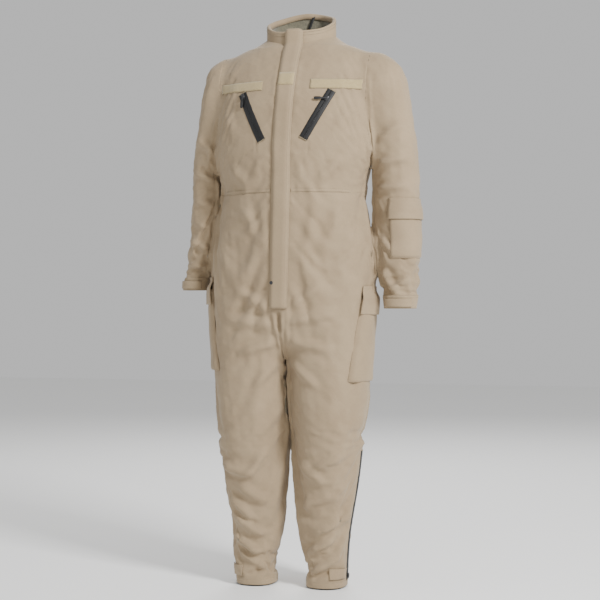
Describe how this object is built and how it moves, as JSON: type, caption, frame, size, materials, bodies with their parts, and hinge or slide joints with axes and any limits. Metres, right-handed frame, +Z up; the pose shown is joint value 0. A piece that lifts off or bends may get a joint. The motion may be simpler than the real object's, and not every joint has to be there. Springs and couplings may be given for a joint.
{
  "type": "coverall",
  "caption": "One-piece tan coverall with a stand collar, a storm fly over the front zip, slanted breast zips, cargo pockets and zipped legs, shown as worn.",
  "frame": {"origin": "in the neck opening, level with the foot of the collar, where the wearer's neck and shoulders hold the suit", "axes": "+Z up towards the collar, +Y to the wearer's back, +X to the wearer's left"},
  "size_m": [0.7024, 0.283, 1.582],
  "materials": {
    "shell_cloth": "matt",
    "pocket_lining": "matt",
    "fleece_lining": "matt",
    "loop_tape": "matt",
    "zip_tape": "matt",
    "zip_metal": "satin",
    "puller_rubber": "satin"
  },
  "bodies": {
    "shell": {"right_front_panel": "shell_cloth", "left_front_panel": "shell_cloth", "back_panel": "shell_cloth", "right_trouser_front": "shell_cloth", "right_trouser_back": "shell_cloth", "right_sleeve": "shell_cloth", "left_trouser_front": "shell_cloth", "left_trouser_back": "shell_cloth", "left_sleeve": "shell_cloth", "collar_shell": "shell_cloth", "collar_lining": "fleece_lining", "hanger_loop": "zip_tape", "front_zip_tape_right": "zip_tape", "front_zip_tape_left": "zip_tape", "right_breast_zip_tape": "zip_tape", "right_breast_loop_strip": "loop_tape", "right_breast_pocket_bag": "pocket_lining", "left_breast_zip_tape": "zip_tape", "left_breast_loop_strip": "loop_tape", "left_breast_pocket_bag": "pocket_lining", "right_cargo_pocket": "shell_cloth", "left_cargo_pocket": "shell_cloth", "left_sleeve_pocket": "shell_cloth", "right_cuff_band": "shell_cloth", "left_cuff_band": "shell_cloth", "right_side_zip_tape": "zip_tape", "right_leg_zip_tape": "zip_tape", "left_side_zip_tape": "zip_tape", "left_leg_zip_tape": "zip_tape"},
    "fly": {"storm_fly": "shell_cloth", "fly_loop_patch": "loop_tape", "fly_snap": "zip_metal"},
    "front_zip_upper": {"front_zip_upper_slider": "zip_metal"},
    "front_zip_lower": {"front_zip_lower_slider": "zip_metal"},
    "right_breast_slider": {"right_breast_zip_slider": "zip_metal"},
    "right_breast_puller": {"right_breast_zip_puller": "puller_rubber"},
    "right_cargo_lid": {"right_cargo_flap": "shell_cloth"},
    "right_cuff_strap": {"right_cuff_tab": "shell_cloth"},
    "right_hem_strap": {"right_hem_tab": "shell_cloth"},
    "right_side_slider": {"right_side_zip_slider": "zip_metal"},
    "right_leg_slider": {"right_leg_zip_slider": "zip_metal"},
    "left_breast_slider": {"left_breast_zip_slider": "zip_metal"},
    "left_breast_puller": {"left_breast_zip_puller": "puller_rubber"},
    "left_cargo_lid": {"left_cargo_flap": "shell_cloth"},
    "left_cuff_strap": {"left_cuff_tab": "shell_cloth"},
    "left_hem_strap": {"left_hem_tab": "shell_cloth"},
    "left_side_slider": {"left_side_zip_slider": "zip_metal"},
    "left_leg_slider": {"left_leg_zip_slider": "zip_metal"},
    "left_sleeve_lid": {"left_sleeve_flap": "shell_cloth"}
  },
  "joints": [
    {"name": "fly_turn", "type": "hinge", "parent": "shell", "child": "fly", "pos_m": [0.02596, -0.1453, -0.28], "axis": [0.0293, 0, 0.9996], "range_deg": [0, 50]},
    {"name": "front_zip_upper_run", "type": "hinge", "parent": "shell", "child": "front_zip_upper", "pos_m": [0.00097, 0.3, -0.28], "axis": [0.9996, 0, -0.0293], "range_deg": [0, 30]},
    {"name": "front_zip_lower_run", "type": "slide", "parent": "shell", "child": "front_zip_lower", "axis": [0.0293, -0.025, 0.9993], "range_m": [0, 0.395]},
    {"name": "right_breast_zip_run", "type": "slide", "parent": "shell", "child": "right_breast_slider", "axis": [0.4222, -0.2313, -0.8765], "range_m": [0, 0.13]},
    {"name": "right_breast_puller_swing", "type": "hinge", "parent": "right_breast_slider", "child": "right_breast_puller", "pos_m": [-0.11628, -0.11753, -0.15335], "axis": [-0.2161, -0.9647, 0.1505], "range_deg": [-50, 50]},
    {"name": "right_cargo_flap_lift", "type": "hinge", "parent": "shell", "child": "right_cargo_lid", "pos_m": [-0.2357, -0.00436, -0.638], "axis": [0, 1, 0], "range_deg": [0, 12]},
    {"name": "right_cuff_tab_peel", "type": "hinge", "parent": "shell", "child": "right_cuff_strap", "pos_m": [-0.32663, -0.00926, -0.65834], "axis": [-0.1113, 0.0642, -0.9917], "range_deg": [0, 70]},
    {"name": "right_hem_tab_peel", "type": "hinge", "parent": "shell", "child": "right_hem_strap", "pos_m": [-0.16708, -0.0195, -1.44001], "axis": [0.0322, 0.0116, -0.9994], "range_deg": [0, 70]},
    {"name": "right_side_zip_run", "type": "hinge", "parent": "shell", "child": "right_side_slider", "pos_m": [-0.62579, 0.006, -0.408], "axis": [0, 1, 0], "range_deg": [0, 28]},
    {"name": "right_leg_zip_run", "type": "slide", "parent": "shell", "child": "right_leg_slider", "axis": [-0.1169, 0, 0.9931], "range_m": [0, 0.33]},
    {"name": "left_breast_zip_run", "type": "slide", "parent": "shell", "child": "left_breast_slider", "axis": [-0.4631, -0.2261, -0.857], "range_m": [-0.018, 0.112]},
    {"name": "left_breast_puller_swing", "type": "hinge", "parent": "left_breast_slider", "child": "left_breast_puller", "pos_m": [0.11735, -0.12156, -0.16867], "axis": [0.217, -0.9664, 0.1378], "range_deg": [-50, 50]},
    {"name": "left_cargo_flap_lift", "type": "hinge", "parent": "shell", "child": "left_cargo_lid", "pos_m": [0.21543, -0.00473, -0.664], "axis": [0, -1, 0], "range_deg": [0, 16]},
    {"name": "left_cuff_tab_peel", "type": "hinge", "parent": "shell", "child": "left_cuff_strap", "pos_m": [0.3314, -0.04035, -0.70881], "axis": [0.1168, -0.0393, 0.9924], "range_deg": [0, 70]},
    {"name": "left_hem_tab_peel", "type": "hinge", "parent": "shell", "child": "left_hem_strap", "pos_m": [0.14296, -0.0195, -1.44001], "axis": [0.0322, -0.0116, 0.9994], "range_deg": [0, 70]},
    {"name": "left_side_zip_run", "type": "hinge", "parent": "shell", "child": "left_side_slider", "pos_m": [0.62021, 0.006, -0.408], "axis": [0, -1, 0], "range_deg": [0, 28]},
    {"name": "left_leg_zip_run", "type": "slide", "parent": "shell", "child": "left_leg_slider", "axis": [0.1169, 0, 0.9931], "range_m": [0, 0.33]},
    {"name": "left_sleeve_flap_lift", "type": "hinge", "parent": "shell", "child": "left_sleeve_lid", "pos_m": [0.33215, -0.04262, -0.42897], "axis": [-0.7027, -0.7115, 0], "range_deg": [0, 33]}
  ]
}
